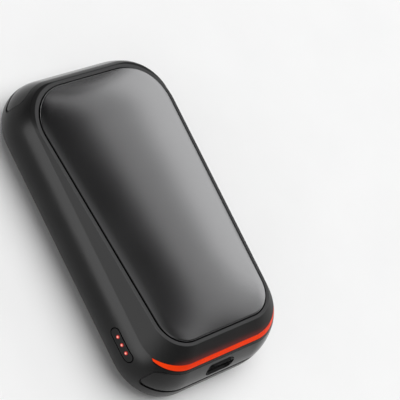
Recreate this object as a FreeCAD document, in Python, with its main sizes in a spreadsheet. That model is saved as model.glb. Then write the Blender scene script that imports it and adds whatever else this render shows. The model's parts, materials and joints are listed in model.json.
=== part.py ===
"""Rechargeable hand warmer: a pocket heater with a warm plate on each face, one cell and a charging socket.

Frame: X across, Y along with the charging end at -Y, Z up through the front plate. It lies on its flat
back at Z = 0, centred on X and Y. All sizes are millimetres and degrees.
"""
import FreeCAD
import Part
import math
import os
import re
import Sketcher
from FreeCAD import Placement, Rotation, Vector

SIZES = {
    # Sleeve, measured at the crease where the barrel band meets the sloped wall
    "crease_half_width": 21.95,
    "crease_half_length": 38.5,
    "crease_corner": 10.5,
    "crease_angle": 44,
    "band_radius": 9.1,
    "end_angle": 40,
    "end_radius": 16,
    "back_edge": 3.1,
    "wall": 1.6,
    "parting_height": 2.4,
    "parting_gap": 0.1,
    # How far a cutting shape runs past the face that it opens
    "tool_overrun": 1,
    # Tilted rim and the recess for the front plate, set in from the crease
    "plate_tilt": 3,
    "rim_step": 0.35,
    "rim_width": 0.75,
    "recess_port_inset": 4.4,
    "recess_plain_inset": 0.65,
    "recess_port_setback": 4.6,
    "recess_plain_setback": 1.15,
    "recess_port_corner": 7.9,
    "recess_plain_corner": 11.4,
    "ledge_width": 2.4,
    "ledge_thickness": 1.2,
    # Front plate with its bonding gasket and heater film
    "plate_gap": 0.3,
    "plate_thickness": 0.9,
    "plate_proud": 0.3,
    "plate_crown": 1.4,
    "crown_run": 11,
    "crown_port_run": 19,
    "gasket_thickness": 0.2,
    "film_thickness": 0.2,
    "film_margin": 0.4,
    # End caps let into the sleeve
    "cap_setback": 2.5,
    "cap_top_drop": 1.2,
    "cap_bottom_drop": 6.9,
    "cap_gap": 0.1,
    "cap_corner": 1.5,
    "cap_hollow_inset": 9.95,
    "cap_peg_inset": 5.95,
    "cap_peg_radius": 1.2,
    "cap_peg_root": 2,
    "groove_width": 0.8,
    "end_wall": 1.5,
    # Light bar along the foot of the wall, with the lit strip behind it
    "bar_inset": 0.45,
    "bar_overlap": 1.25,
    "bar_corner": 12.5,
    "bar_tip_setback": 5.5,
    "bar_tip_slope": 25,
    "bar_drop": 0.6,
    "bar_gap": 0.05,
    "bar_tongue_rise": 0.15,
    "strip_margin": 1,
    "strip_thickness": 0.6,
    "strip_rise": 0.8,
    "strip_notch_gap": 1,
    "strip_socket_gap": 0.4,
    "strip_led_margin": 1.98,
    "strip_led_length": 1.6,
    "strip_led_depth": 0.6,
    "strip_led_height": 0.6,
    "light_gap": 0.2,
    # Charging socket
    "port_drop": 4.2,
    "socket_width": 8.94,
    "socket_height": 3.26,
    "socket_wall": 0.3,
    "socket_length": 7.3,
    "socket_stand": 2.2,
    "socket_gap": 0.15,
    "tongue_width": 6.7,
    "tongue_thickness": 0.7,
    "tongue_setback": 0.8,
    "socket_back": 1.5,
    "port_window_gap": 0.5,
    # Main board
    "board_side_gap": 2.95,
    "board_thickness": 1,
    "board_drop": 0.3,
    "board_cell_gap": 1.5,
    "board_arm_width": 5,
    "board_arm_reach": 0.7,
    "board_gap": 0.1,
    "board_screw_inset": 1.8,
    "board_screw_setback": 3.5,
    "rib_half": 2.2,
    "rib_rise": 2.7,
    "rib_root": 1.25,
    # Push button in the side band, its light guide, switch and small board
    "button_setback": 11.4,
    "button_drop": 3.97,
    "button_length": 8.8,
    "button_height": 2.25,
    "button_gap": 0.2,
    "button_travel": 0.35,
    "flange_margin": 0.8,
    "flange_thickness": 0.75,
    "seat_inset": 0.75,
    "seat_gap": 0.1,
    "seat_half_length": 6.2,
    "seat_half_height": 2.55,
    "guide_thickness": 0.6,
    "guide_half_length": 4,
    "guide_half_height": 1.7,
    "dot_radius": 0.45,
    "dot_rise": 0.22,
    "dot_pitch": 2.15,
    "dot_gap": 0.03,
    "plunger_radius": 0.8,
    "plunger_stand": 0.45,
    "plunger_root": 0.5,
    "switch_depth": 1.5,
    "switch_half_length": 1.75,
    "switch_half_height": 1.1,
    "button_board_half": 5,
    "button_board_thickness": 0.8,
    "button_led_rise": 0.5,
    # Rear cover, its plate and the joint with the sleeve
    "rear_margin": 1,
    "rear_end_inset": 2.9,
    "rear_recess_corner": 5,
    "rear_plate_thickness": 0.8,
    "window_margin": 1.8,
    "window_end_gap": 2.5,
    "window_corner": 3,
    "lip_gap": 0.25,
    "lip_corner": 8,
    "lip_thickness": 1.2,
    "lip_height": 1.6,
    "lip_root": 0.5,
    "boss_inset": 3.4,
    "boss_radius": 2.6,
    "boss_overlap": 0.8,
    "boss_gap": 0.3,
    # Screws
    "screw_radius": 0.95,
    "screw_head_radius": 1.8,
    "screw_head_height": 0.8,
    "case_screw_length": 4.5,
    "board_screw_length": 3,
    "screw_hole_gap": 0.15,
    "thread_gap": 0.05,
    "pilot_end": 0.5,
    "driver_slot": 0.5,
    "driver_depth": 0.4,
    # Cell and its padding
    "cell_side_gap": 4.95,
    "cell_port_gap": 20,
    "cell_plain_gap": 6,
    "cell_height": 8,
    "cell_corner": 2.5,
    "cell_edge": 1.5,
    "cell_gap": 0.3,
    "cell_rib_thickness": 1.2,
    "cell_rib_height": 4.5,
    "cell_rib_setback": 4,
    "rear_pad_thickness": 1.6,
    "pad_side_gap": 2.5,
    "pad_end_gap": 1,
    "pad_corner": 2,
    # Leads and small parts
    "board_grid": 0.5,
    "lead_radius": 0.5,
    "lead_half_pitch": 3,
    "solder_gap": 0.05,
    "lead_clear": 4.4,
    "guard_inset": 8,
    "connector_half": 3,
    "connector_length": 4,
    "connector_height": 2.6,
    "controller_side": 5,
    "charger_side": 4,
    "chip_height": 0.8,
    "inductor_side": 5,
    "inductor_height": 2.6,
    "mosfet_width": 3.3,
    "mosfet_length": 3.3,
    "mosfet_height": 0.9,
    "capacitor_width": 0.8,
    "capacitor_length": 1.6,
    "capacitor_height": 0.8,
    "resistor_width": 1,
    "resistor_length": 0.5,
    "resistor_height": 0.35,
    "sensor_setback": 5.5,
    "thermistor_length": 2,
    "thermistor_width": 1.2,
    "thermistor_height": 0.7,
}

# Sizes and places that follow from the ones above
FOLLOWS = {
    # Heights
    "crease_z": "band_radius * (1 + sin(crease_angle))",
    "rim_z": "crease_z + rim_step + recess_plain_end * sin(plate_tilt)",
    "cap_space_top": "crease_z - cap_top_drop",
    "cap_bottom": "crease_z - cap_bottom_drop",
    "cap_middle": "(cap_space_top + cap_bottom) / 2",
    "groove_bottom": "cap_bottom - groove_width",
    "bar_bottom": "crease_z - bar_drop",
    "port_z": "crease_z - port_drop",
    "board_top": "port_z - board_drop",
    "board_bottom": "board_top - board_thickness",
    "button_z": "crease_z - button_drop",
    "switch_z": "board_top + solder_gap + switch_half_height",
    "button_led_z": "board_top + 2 * switch_half_height + button_led_rise",
    "rear_floor": "rear_plate_thickness + gasket_thickness",
    "head_seat": "rear_floor + screw_head_height",
    "cell_bottom": "rear_floor + rear_pad_thickness",
    "cell_top": "cell_bottom + cell_height",
    # Depths below the plane of the rim
    "recess_floor": "-plate_thickness - gasket_thickness",
    "ledge_underside": "recess_floor - ledge_thickness",
    "film_underside": "-plate_thickness - film_thickness",
    # Half widths and places across
    "recess_port_half": "crease_half_width - recess_port_inset",
    "recess_plain_half": "crease_half_width - recess_plain_inset",
    "cap_hollow_half": "crease_half_width - cap_hollow_inset",
    "cap_peg_offset": "crease_half_width - cap_peg_inset",
    "bar_tongue_half": "crease_half_width / 2",
    "strip_half": "bar_tongue_half + strip_margin",
    "strip_led_pitch": "(bar_tongue_half - strip_led_margin) / 2",
    "strip_notch_half": "socket_width / 2 + strip_notch_gap",
    "board_half": "crease_half_width - board_side_gap",
    "board_arm_half": "socket_width / 2 + board_arm_width",
    "board_screw_offset": "board_half - board_screw_inset",
    "parting_swell": "band_radius * (sqrt(1 - (1 - parting_height / band_radius)^2) - cos(crease_angle))",
    "lip_half": "crease_half_width + parting_swell - wall - lip_gap",
    "rear_recess_half": "crease_half_width - band_radius * cos(crease_angle) - rear_margin",
    "window_half": "rear_recess_half - window_margin",
    "boss_offset": "rear_recess_half - boss_inset",
    "cell_half": "crease_half_width - cell_side_gap",
    "front_pad_half": "cell_half - pad_side_gap",
    "guard_half": "cell_half - guard_inset",
    "seat_x": "crease_half_width - seat_inset",
    "flange_out": "seat_x - seat_gap",
    "flange_in": "flange_out - flange_thickness",
    "guide_in": "flange_in - guide_thickness",
    "switch_face": "guide_in - plunger_stand",
    "button_board_x": "switch_face - switch_depth",
    # Half lengths and places along
    "recess_port_end": "crease_half_length - recess_port_setback",
    "recess_plain_end": "crease_half_length - recess_plain_setback",
    "cap_reach": "crease_half_length - cap_setback",
    "cavity_end": "cap_reach - end_wall",
    "bar_tip": "crease_half_length - bar_tip_setback",
    "socket_mouth": "crease_half_length + socket_stand",
    "board_arm_end": "crease_half_length + board_arm_reach",
    "cell_port_end": "cavity_end - cell_port_gap",
    "cell_plain_end": "cavity_end - cell_plain_gap",
    "board_inner_end": "cell_port_end + board_cell_gap",
    "board_screw_along": "board_inner_end + board_screw_setback",
    "button_along": "crease_half_length - button_setback",
    "lip_end": "cavity_end - lip_gap",
    "boss_y": "cavity_end + boss_overlap - boss_radius",
    "rear_recess_end": "crease_half_length - rear_end_inset",
    "window_end": "boss_y - boss_radius - window_end_gap",
    "front_lead_y": "socket_length + lead_clear - socket_mouth",
    "rear_lead_y": "21 * board_grid - cavity_end",
    "connector_face": "29 * board_grid - cavity_end",
    "sensor_y": "-cell_port_end - sensor_setback",
}

PORT, PLAIN = -1, 1
SECTIONS = 7
# Longer than half of the object in any direction, for cutting shapes
REACH = 60

doc = FreeCAD.newDocument("HandWarmer")
sheet = doc.addObject("Spreadsheet::Sheet", "Sizes")
for row, (alias, number) in enumerate(SIZES.items(), start=1):
    sheet.set(f"A{row}", alias)
    sheet.set(f"B{row}", str(number))
    sheet.setAlias(f"B{row}", alias)
gauge = doc.addObject("App::FeaturePython", "Gauge")
gauge.addProperty("App::PropertyFloat", "Reading")
doc.recompute()
NODES = []


def size(text):
    """An expression in which every size name points at its cell of the sheet."""
    def point(match):
        word = match[0]
        if word in FOLLOWS:
            return f"({size(FOLLOWS[word])})"
        return f"Sizes.{word}" if word in SIZES else word

    return re.sub(r"[a-z][a-z_]*", point, str(text))


def value(text):
    """The number that an expression of sizes gives, for drawing a sketch near its final place."""
    gauge.setExpression("Reading", size(text))
    gauge.recompute()
    return gauge.Reading


def bind(item, **expressions):
    """Tie properties of an item to expressions of sizes."""
    for name, text in expressions.items():
        item.setExpression(name, size(text))


def place(item, x=0, y=0, z=0):
    """Tie an item's position to expressions of sizes."""
    for axis, text in zip("xyz", (x, y, z)):
        item.setExpression(f"Placement.Base.{axis}", size(text))
    return item


def tilt(item, lift=0, across=0, along=0):
    """Turn a flat item into the plane of the rim, moved in that plane and lifted square to it."""
    item.Placement = Placement(Vector(), Rotation(Vector(1, 0, 0), -SIZES["plate_tilt"]))
    item.setExpression("Placement.Rotation.Angle", size("-plate_tilt"))
    return place(item, across, f"({along}) * cos(plate_tilt) + ({lift}) * sin(plate_tilt)",
                 f"rim_z - ({along}) * sin(plate_tilt) + ({lift}) * cos(plate_tilt)")


def node(item):
    """Count an item as one piece of the finished assembly."""
    NODES.append(item)
    return item


def outline(name, port_half, plain_half, port_end, plain_end, port_corner, plain_corner, body=None):
    """A closed sketch with two straight ends, two sides that may taper, and four tangent corners."""
    kind = "Sketcher::SketchObject"
    sketch = body.newObject(kind, name) if body else doc.addObject(kind, name)
    half, far_half, end, far_end, corner, far_corner = (
        value(text) for text in (port_half, plain_half, port_end, plain_end, port_corner, plain_corner))

    def line(*points):
        return Part.LineSegment(*(Vector(*point, 0) for point in points))

    def arc(x, y, radius, quarter):
        circle = Part.Circle(Vector(x, y, 0), Vector(0, 0, 1), radius)
        return Part.ArcOfCircle(circle, quarter * math.pi / 2, (quarter + 1) * math.pi / 2)

    def drive(text, *constraint):
        index = sketch.addConstraint(Sketcher.Constraint(*constraint, value(text)))
        sketch.renameConstraint(index, f"size{index}")
        sketch.setExpression(f"Constraints.size{index}", size(text))

    def fix(*constraint):
        sketch.addConstraint(Sketcher.Constraint(*constraint))

    low, high = corner - end, far_end - far_corner
    sketch.addGeometry([
        line((corner - half, -end), (half - corner, -end)),
        arc(half - corner, low, corner, -1),
        line((half, low), (far_half, high)),
        arc(far_half - far_corner, high, far_corner, 0),
        line((far_half - far_corner, far_end), (far_corner - far_half, far_end)),
        arc(far_corner - far_half, high, far_corner, 1),
        line((-far_half, high), (-half, low)),
        arc(corner - half, low, corner, 2),
    ])
    corners = [(half, -end), (far_half, far_end), (-far_half, far_end), (-half, -end)]
    sketch.addGeometry([Part.Point(Vector(*point, 0)) for point in corners], True)
    for piece in range(8):
        fix("Tangent", piece, 2, (piece + 1) % 8, 1)
    fix("Horizontal", 0)
    fix("Horizontal", 4)
    for piece, radius in ((1, port_corner), (3, plain_corner), (5, plain_corner), (7, port_corner)):
        drive(radius, "Radius", piece)
    drive(port_end, "DistanceY", 0, 1, -1, 1)
    drive(plain_end, "DistanceY", -1, 1, 4, 1)
    for point, first, second in ((8, 0, 2), (9, 2, 4), (10, 4, 6), (11, 6, 0)):
        fix("PointOnObject", point, 1, first)
        fix("PointOnObject", point, 1, second)
    drive(port_half, "DistanceX", -1, 1, 8, 1)
    drive(plain_half, "DistanceX", -1, 1, 9, 1)
    drive(plain_half, "DistanceX", 10, 1, -1, 1)
    drive(port_half, "DistanceX", 11, 1, -1, 1)
    return sketch


def oblong(half, end, corner):
    """The sizes of an outline that is the same at both ends."""
    return half, half, end, end, corner, corner


def recess(inset, port_inset=None):
    """The sizes of the front recess outline, moved inward, its port end by more where that is given."""
    sides = [f"{name} - ({inset})" for name in ("recess_port_half", "recess_plain_half")]
    ends = [f"recess_port_end - ({port_inset or inset})", f"recess_plain_end - ({inset})"]
    corners = [f"max(1; {name} - ({inset}))" for name in ("recess_port_corner", "recess_plain_corner")]
    return sides + ends + corners


def prism(name, sketch, height):
    """A solid pushed out square from a sketch."""
    item = doc.addObject("Part::Extrusion", name)
    item.Base = sketch
    item.DirMode = "Normal"
    item.Solid = True
    bind(item, LengthFwd=height)
    return item


def loft(name, sketches, ruled=False):
    """A solid through a row of sketches."""
    item = doc.addObject("Part::Loft", name)
    item.Sections = sketches
    item.Solid = True
    item.Ruled = ruled
    return item


def pad_body(name, shape, thickness, edge=None):
    """A body padded from one outline; the edges of its top and bottom faces may be rounded."""
    body = doc.addObject("PartDesign::Body", name)
    pad = body.newObject("PartDesign::Pad", f"{name}_pad")
    pad.Profile = outline(f"{name}_outline", *shape, body=body)
    bind(pad, Length=thickness)
    doc.recompute()
    if edge:
        rounding = body.newObject("PartDesign::Fillet", f"{name}_edge")
        rounding.Base = (pad, ["Face9", "Face10"])
        bind(rounding, Radius=edge)
    return body


def block(name, x, y, z):
    """A box between two positions on each axis."""
    item = doc.addObject("Part::Box", name)
    spans = [f"({high}) - ({low})" for low, high in (x, y, z)]
    bind(item, Length=spans[0], Width=spans[1], Height=spans[2])
    return place(item, x[0], y[0], z[0])


def chip(name, spot, width, length, height):
    """A flat component on the main board, at a share of its half width and some grid steps from the end."""
    x = f"{spot[0]} * board_half"
    y = f"{spot[1]} * board_grid - cavity_end"
    return block(name, (f"{x} - {width} / 2", f"{x} + {width} / 2"),
                 (f"{y} - {length} / 2", f"{y} + {length} / 2"), ("board_top", f"board_top + {height}"))


def rod(name, axis, radius, x, y, z, length):
    """A round bar that starts at a point and runs along an axis."""
    item = doc.addObject("Part::Cylinder", name)
    turns = {"X": Rotation(Vector(0, 1, 0), 90), "Y": Rotation(Vector(1, 0, 0), -90), "Z": Rotation()}
    item.Placement = Placement(Vector(), turns[axis])
    bind(item, Radius=radius, Height=length)
    return place(item, x, y, z)


def pill(name, axis, long, high, x, y, z, length):
    """A bar with round ends that starts at a point and runs along X or Y."""
    straight = f"(({long}) - ({high})) / 2"
    upright = (f"({z}) - ({high}) / 2", f"({z}) + ({high}) / 2")
    across, along = (y, x) if axis == "X" else (x, y)
    ends = (f"({across}) - {straight}", f"({across}) + {straight}")
    run = (along, f"({along}) + ({length})")
    core = block(f"{name}_core", *((run, ends) if axis == "X" else (ends, run)), upright)
    rounds = []
    for side, end in zip(("low", "high"), ends):
        start = (along, end) if axis == "X" else (end, along)
        rounds.append(rod(f"{name}_{side}", axis, f"({high}) / 2", *start, z, length))
    return join(name, core, *rounds)


def join(name, *items):
    """One solid from several that touch or cross."""
    item = doc.addObject("Part::MultiFuse", name)
    item.Shapes = items
    item.Refine = True
    return item


def shared(name, *items):
    """What several solids have in common."""
    item = doc.addObject("Part::MultiCommon", name)
    item.Shapes = items
    return item


def cut(name, base, *tools):
    """A solid with other solids taken away."""
    item = doc.addObject("Part::Cut", name)
    item.Base = base
    item.Tool = tools[0] if len(tools) == 1 else join(f"{name}_tools", *tools)
    return item


def group(name, items):
    """Several separate solids of one kind, kept as one piece of the assembly."""
    item = doc.addObject("Part::Compound", name)
    item.Links = items
    return item


def screw(name, x, y, seat, length):
    """A pan-head screw driven upward: its head hangs below the seat and carries a cross slot."""
    under = f"{seat} - screw_head_height"
    head = rod(f"{name}_head", "Z", "screw_head_radius", x, y, under, "screw_head_height")
    shank = rod(f"{name}_shank", "Z", "screw_radius", x, y, seat, length)
    slots = []
    arm, half = "screw_head_radius * 0.6", "driver_slot / 2"
    for number, (wide, deep) in enumerate(((arm, half), (half, arm))):
        slots.append(block(f"{name}_slot_{number}", (f"{x} - {wide}", f"{x} + {wide}"),
                           (f"{y} - {deep}", f"{y} + {deep}"), (under, f"{under} + driver_depth")))
    return cut(name, join(f"{name}_body", head, shank), *slots)


def band_sections(name, inset):
    """Outlines of the sleeve at even angles round its side arc, from the crease down to the flat back."""
    sketches = []
    for step in range(SECTIONS + 1):
        angle = f"(crease_angle - (crease_angle + 90) * {step} / {SECTIONS})"
        height = f"(band_radius * (1 + sin({angle})))"
        drop = f"(band_radius * (sin(crease_angle) - sin({angle})))"
        side = f"(band_radius * (cos({angle}) - cos(crease_angle)))"
        swell = f"(end_radius * (sqrt(1 - (sin(end_angle) - {drop} / end_radius)^2) - cos(end_angle)))"
        tuck = f"(back_edge - sqrt(back_edge^2 - max(0; back_edge - {height})^2))"
        end = f"({swell} - {tuck})"
        corner = f"crease_corner + ({side} + {end}) / 2 - {inset}"
        shape = oblong(f"crease_half_width + {side} - {inset}",
                       f"crease_half_length + {end} - {inset}", corner)
        sketches.append(place(outline(f"{name}_{step}", *shape), z=height))
    return sketches


def cap_zone(name, way, top, bottom, gap):
    """The space beyond a seam plane across one end, with rounded corners toward the middle."""
    half = f"({top} - {bottom}) / 2"
    sketch = outline(f"{name}_outline", *oblong(half, REACH / 2, "cap_corner"))
    sketch.Placement = Placement(Vector(), Rotation(Vector(0, 1, 0), -90))
    place(sketch, REACH, f"{way} * (cap_reach + {gap} + {REACH} / 2)", f"({top} + {bottom}) / 2")
    return prism(name, sketch, 2 * REACH)


# Outer form of the sleeve: barrel band below the crease, sloped wall from the crease to the tilted rim
outer_sections = band_sections("outer", "0")
band_form = loft("band_form", outer_sections)
rim_line = tilt(outline("rim_line", *recess("-rim_width")))
wall_form = loft("wall_form", [outer_sections[0], rim_line], ruled=True)
outer_form = join("outer_form", band_form, wall_form)

# Inside of the sleeve: the same form moved in by the wall, closed by the end walls and the plate ledge
inner_sections = band_sections("inner", "wall")
inner_band = loft("inner_band", inner_sections)
inner_rim = tilt(outline("inner_rim", *recess("wall - rim_width")))
inner_wall = loft("inner_wall", [inner_sections[0], inner_rim], ruled=True)
inner_form = join("inner_form", inner_band, inner_wall)
room = block("room", (-REACH, REACH), ("-cavity_end", "cavity_end"), ("-tool_overrun", REACH))
wide_plate = oblong(REACH, 2 * REACH, "crease_corner")
under_ledge = prism("under_ledge", outline("under_ledge_outline", *wide_plate), REACH)
tilt(under_ledge, f"ledge_underside - {REACH}")
cavity_blank = shared("cavity_blank", inner_form, room, under_ledge)
ledge_line = tilt(outline("ledge_line", *recess("ledge_width")), "ledge_underside - tool_overrun")
ledge_opening = prism("ledge_opening", ledge_line, "2 * tool_overrun - ledge_underside")
recess_line = tilt(outline("recess_line", *recess("0")), "recess_floor")
recess_space = prism("recess_space", recess_line, "tool_overrun - recess_floor")

# Spaces for the two end caps
cap_spaces = []
for way, end_name in ((PORT, "port"), (PLAIN, "plain")):
    cap_spaces.append(cap_zone(f"{end_name}_cap_space", way, "cap_space_top", "groove_bottom", "0"))

# Light bar: the edge of the form outside a rounded line that crosses the crease at both corners
bar_tongue = block("bar_tongue", ("-bar_tongue_half", "bar_tongue_half"),
                   ("-crease_half_length", "-cavity_end - strip_led_depth - light_gap"),
                   ("bar_bottom", "crease_z + bar_tongue_rise"))


def bar_zone(name, gap):
    """The space outside the inner line of the light bar, cut on a slant at its two tips."""
    side = f"crease_half_width + bar_overlap - {gap}"
    inner_line = outline(f"{name}_line", side, side, f"crease_half_length - bar_inset - {gap}", REACH,
                         "bar_corner", "bar_corner")
    inside = prism(f"{name}_inside", inner_line, REACH)
    space = block(f"{name}_space", (-REACH, REACH), (-2 * REACH, 0),
                  (f"bar_bottom - {gap}", "crease_z + tool_overrun"))
    slant = doc.addObject("Part::Box", f"{name}_slant")
    slant.Placement = Placement(Vector(), Rotation(Vector(1, 0, 0), SIZES["bar_tip_slope"]))
    slant.setExpression("Placement.Rotation.Angle", size("bar_tip_slope"))
    bind(slant, Length=2 * REACH, Width=REACH, Height=REACH)
    place(slant, -REACH, f"-bar_tip - {REACH} * cos(bar_tip_slope)",
          f"crease_z - {gap} - {REACH} * sin(bar_tip_slope)")
    return cut(name, shared(f"{name}_tipped", space, slant), inside)


light_bar = node(join("light_bar", shared("bar_edge", outer_form, bar_zone("bar_space", "0")), bar_tongue))
tongue_slot = block("tongue_slot", ("-bar_tongue_half - bar_gap", "bar_tongue_half + bar_gap"),
                    ("-crease_half_length", "-cavity_end + tool_overrun"),
                    ("bar_bottom - bar_gap", "crease_z + bar_tongue_rise + bar_gap"))

# Sleeve: screw bosses, board ribs and a flat seat round the button stand in the cavity
bosses = []
pilot_holes = []
corners = [(x, y) for x in (-1, 1) for y in (PORT, PLAIN)]
for number, (x, y) in enumerate(corners):
    spot = f"{x} * boss_offset", f"{y} * boss_y"
    bosses.append(rod(f"boss_{number}", "Z", "boss_radius", *spot, "-tool_overrun",
                      "board_bottom + tool_overrun"))
    pilot_holes.append(rod(f"pilot_{number}", "Z", "screw_radius + thread_gap", *spot, 0,
                           "head_seat + case_screw_length + pilot_end"))
ribs = []
for side in (-1, 1):
    reach = sorted((f"{side} * (board_screw_offset - rib_half)",
                    f"{side} * (crease_half_width + rib_root)"), key=value)
    ribs.append(block(f"rib_{side + 1}", reach,
                      ("-board_screw_along - rib_half", "-board_screw_along + rib_half"),
                      ("board_top", "board_top + rib_rise")))
    pilot_holes.append(rod(f"rib_pilot_{side + 1}", "Z", "screw_radius + thread_gap",
                           f"{side} * board_screw_offset", "-board_screw_along", "board_bottom",
                           "board_screw_length + pilot_end"))
seat_span = (("-button_along - seat_half_length", "-button_along + seat_half_length"),
             ("button_z - seat_half_height", "button_z + seat_half_height"))
seat_block = block("seat_block", (-REACH, "-seat_x"), *seat_span)
flange_room = block("flange_room", ("-seat_x", "-guide_in"), *seat_span)
button_hole = pill("button_hole", "X", "button_length + 2 * button_gap", "button_height + 2 * button_gap",
                   -REACH, "-button_along", "button_z", f"{REACH} - seat_x + tool_overrun")
port_window = block("port_window",
                    ("-board_arm_half - port_window_gap", "board_arm_half + port_window_gap"),
                    ("-cap_reach - tool_overrun", "-cavity_end + tool_overrun"),
                    ("port_z - socket_height / 2 - port_window_gap",
                     "port_z + socket_height / 2 + port_window_gap"))
peg_holes = []
for way in (PORT, PLAIN):
    for side in (-1, 1):
        start = "-cap_reach - tool_overrun" if way == PORT else "cavity_end + board_gap"
        peg_holes.append(rod(f"peg_hole_{way + 1}_{side + 1}", "Y", "cap_peg_radius + bar_gap",
                             f"{side} * cap_peg_offset", start, "cap_middle",
                             "end_wall + tool_overrun - board_gap"))
upper = block("upper", (-REACH, REACH), (-2 * REACH, 2 * REACH), ("parting_height + parting_gap", REACH))
cavity = cut("cavity", cavity_blank, *bosses, *ribs, seat_block)
shell = cut("shell", shared("sleeve_blank", outer_form, upper), cavity, ledge_opening)
node(cut("main_housing", cut("sleeve", shell, recess_space, *cap_spaces, bar_zone("bar_slot", "bar_gap")),
         tongue_slot, button_hole, flange_room, port_window, *pilot_holes, *peg_holes))

# End caps: the same outer form, hollow behind, pegged into the end walls
for way, end_name in ((PORT, "port"), (PLAIN, "plain")):
    cap_top = "(cap_space_top - cap_gap)"
    blank = shared(f"{end_name}_cap_blank", band_form,
                   cap_zone(f"{end_name}_cap_zone", way, cap_top, "cap_bottom", "cap_gap"))
    span = sorted((f"{way} * (cap_reach - tool_overrun)", f"{way} * (cap_reach + {REACH})"), key=value)
    hollow = shared(f"{end_name}_cap_hollow", inner_band,
                    block(f"{end_name}_cap_room", ("-cap_hollow_half", "cap_hollow_half"), span,
                          ("cap_bottom + 0.75 * wall", f"{cap_top} - 0.75 * wall")))
    pegs = []
    for side in (-1, 1):
        start = "-cap_reach - cap_peg_root" if way == PORT else "cavity_end + 2 * board_gap"
        pegs.append(rod(f"{end_name}_peg_{side + 1}", "Y", "cap_peg_radius", f"{side} * cap_peg_offset",
                        start, "cap_middle", "end_wall + cap_peg_root - 2 * board_gap"))
    removed = [hollow]
    if way == PORT:
        removed.append(pill("port_slot", "Y", "socket_width + 2 * socket_gap",
                            "socket_height + 2 * socket_gap", 0, -2 * REACH, "port_z", 2 * REACH))
    node(join(f"{end_name}_end_cap", cut(f"{end_name}_cap_shell", blank, *removed), *pegs))

# Front plate: flat underneath, crowned on top, rising to a level middle, slowest from the port end
plate_base = prism("plate_base", tilt(outline("plate_line", *recess("plate_gap")), "-plate_thickness"),
                   "plate_thickness + plate_proud")
crown_lines = []
for number, run in enumerate((0, 0.2, 0.4, 0.6, 0.8, 1)):
    rise = f"plate_proud + plate_crown * (1 - (1 - {run})^2)"
    crown_sizes = recess(f"plate_gap + crown_run * {run}", f"plate_gap + crown_port_run * {run}")
    crown_lines.append(tilt(outline(f"crown_line_{number}", *crown_sizes), rise))
front_heat_plate = node(join("front_heat_plate", plate_base, loft("plate_crown_form", crown_lines)))

# Bonding gasket on the ledge, heater film and its sensor under the plate
gasket_line = tilt(outline("front_gasket_line", *recess("2 * plate_gap")), "recess_floor")
gasket_outer = prism("front_gasket_outer", gasket_line, "gasket_thickness")
gasket_hole = tilt(outline("front_gasket_hole", *recess("ledge_width")), "recess_floor - tool_overrun")
gasket_inner = prism("front_gasket_inner", gasket_hole, "gasket_thickness + 2 * tool_overrun")
node(cut("front_plate_gasket", gasket_outer, gasket_inner))
film = node(pad_body("front_heater_film", recess("ledge_width + film_margin"), "film_thickness"))
tilt(film, "film_underside")
sensor_shape = oblong("thermistor_length / 2", "thermistor_width / 2", "lead_radius / 2")
sensor = node(pad_body("front_thermistor", sensor_shape, "thermistor_height"))
tilt(sensor, "film_underside - thermistor_height", "window_half / 2", "sensor_y")

# Rear cover: shallow dish with a lip inside the sleeve, a recess for the rear plate and a heater window
lower = block("lower", (-REACH, REACH), (-2 * REACH, 2 * REACH), ("-tool_overrun", "parting_height"))
dish = shared("dish", band_form, lower)
lip_outer = prism("lip_outer", place(outline("lip_line", *oblong("lip_half", "lip_end", "lip_corner")),
                                     z="parting_height - lip_root"), "lip_height + lip_root")
lip_hole = oblong("lip_half - lip_thickness", "lip_end - lip_thickness", "lip_corner - lip_thickness")
lip_inner = prism("lip_inner", outline("lip_hole", *lip_hole), REACH)
boss_spaces = []
for number, (x, y) in enumerate(corners):
    boss_spaces.append(rod(f"boss_space_{number}", "Z", "boss_radius + boss_gap", f"{x} * boss_offset",
                           f"{y} * boss_y", "parting_height", "cell_height"))
lip = cut("lip", lip_outer, lip_inner, *boss_spaces)
cell_ribs = []
for side in (-1, 1):
    span = sorted((f"{side} * (cell_half + cell_gap)",
                   f"{side} * (cell_half + cell_gap + cell_rib_thickness)"), key=value)
    cell_ribs.append(block(f"cell_rib_{side + 1}", span,
                           ("-cell_port_end + cell_rib_setback", "cell_plain_end - cell_rib_setback"),
                           ("parting_height - lip_root", "parting_height + cell_rib_height")))
rear_recess_line = outline("rear_recess_line",
                           *oblong("rear_recess_half", "rear_recess_end", "rear_recess_corner"))
rear_recess = prism("rear_recess", place(rear_recess_line, z="-tool_overrun"), "rear_floor + tool_overrun")
window_line = outline("window_line", *oblong("window_half", "window_end", "window_corner"))
window = prism("window", window_line, REACH)
screw_holes = []
for number, (x, y) in enumerate(corners):
    spot = f"{x} * boss_offset", f"{y} * boss_y"
    screw_holes.append(rod(f"head_hole_{number}", "Z", "screw_head_radius + screw_hole_gap", *spot, 0,
                           "head_seat"))
    screw_holes.append(rod(f"shank_hole_{number}", "Z", "screw_radius + screw_hole_gap", *spot, 0,
                           "parting_height + lip_height"))
node(cut("rear_cover", join("cover_blank", dish, lip, *cell_ribs), rear_recess, window, *screw_holes))

# Rear plate, its gasket, heater film and sensor
rear_plate_shape = oblong("rear_recess_half - plate_gap", "rear_recess_end - plate_gap",
                          "rear_recess_corner - plate_gap")
node(pad_body("rear_heat_plate", rear_plate_shape, "rear_plate_thickness"))
rear_gasket_outer = prism("rear_gasket_outer", place(outline("rear_gasket_line", *rear_plate_shape),
                                                     z="rear_plate_thickness"), "gasket_thickness")
node(cut("rear_plate_gasket", rear_gasket_outer, window))
rear_film_shape = oblong("window_half - film_margin", "window_end - film_margin", "window_corner")
place(node(pad_body("rear_heater_film", rear_film_shape, "film_thickness")), z="rear_plate_thickness")
rear_sensor = node(pad_body("rear_thermistor", sensor_shape, "thermistor_height"))
place(rear_sensor, "window_half / 2", "sensor_y", "rear_floor")

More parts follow.
